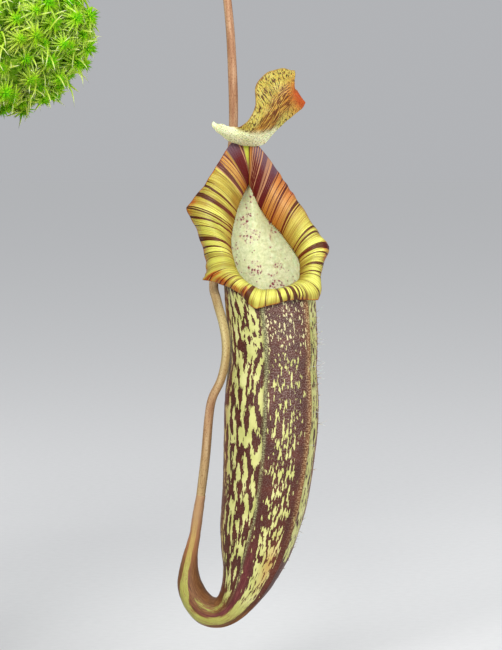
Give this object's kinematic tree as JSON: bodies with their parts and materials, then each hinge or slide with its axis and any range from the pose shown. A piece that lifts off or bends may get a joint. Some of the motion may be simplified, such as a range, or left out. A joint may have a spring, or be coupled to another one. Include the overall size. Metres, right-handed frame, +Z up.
{
  "type": "potted nepenthes spectabilis x platychila",
  "caption": "Tropical pitcher plant in a plain round nursery pot with live moss; strap leaves carry tendrils, and pitchers with a striped collar and a lid hang from them.",
  "frame": {"origin": "centre of the pot's flat base", "axes": "+Z up; +X from the pot towards the largest pitcher, which hangs beside the pot and whose mouth faces -Y"},
  "size_m": [0.382, 0.3579, 0.4463],
  "materials": {
    "pot_plastic": "black moulded nursery pot, faint sheen, dust and mineral marks",
    "bark_mix": "bark chips, perlite and long-fibre moss, damp",
    "moss": "live sphagnum, star-shaped heads, bright yellow-green with pale tips",
    "stem": "green-brown vine stem with leaf scars and fine hairs",
    "leaf": "leathery green leaf, waxy sheen, pale midrib, lengthwise veins",
    "tendril": "tan-brown tendril with fine specks and short hairs",
    "pitcher_cup": "waxy pitcher wall, dark maroon with yellow-green blotches; pale specked inside",
    "pitcher_peristome": "glossy ribbed collar, yellow with maroon stripes",
    "pitcher_lid": "thin cream and olive lid, brown flecks, orange tip"
  },
  "bodies": {
    "root": {"pot": "pot_plastic", "growing_medium": "bark_mix", "moss": "moss", "stem": "stem", "leaf_1": "leaf", "leaf_2": "leaf", "leaf_3": "leaf", "leaf_4": "leaf", "leaf_5": "leaf", "leaf_6": "leaf", "leaf_7": "leaf", "leaf_8": "leaf", "leaf_9": "leaf", "tendril_1": "tendril", "tendril_2": "tendril", "tendril_3": "tendril", "tendril_4": "tendril", "tendril_5": "tendril", "tendril_6": "tendril", "tendril_7": "tendril", "tendril_8": "tendril", "pitcher_2_cup": "pitcher_cup", "pitcher_2_peristome": "pitcher_peristome", "pitcher_2_lid": "pitcher_lid", "pitcher_3_cup": "pitcher_cup", "pitcher_3_peristome": "pitcher_peristome", "pitcher_3_lid": "pitcher_lid", "pitcher_4_cup": "pitcher_cup", "pitcher_4_peristome": "pitcher_peristome", "pitcher_4_lid": "pitcher_lid"}
  },
  "joints": []
}
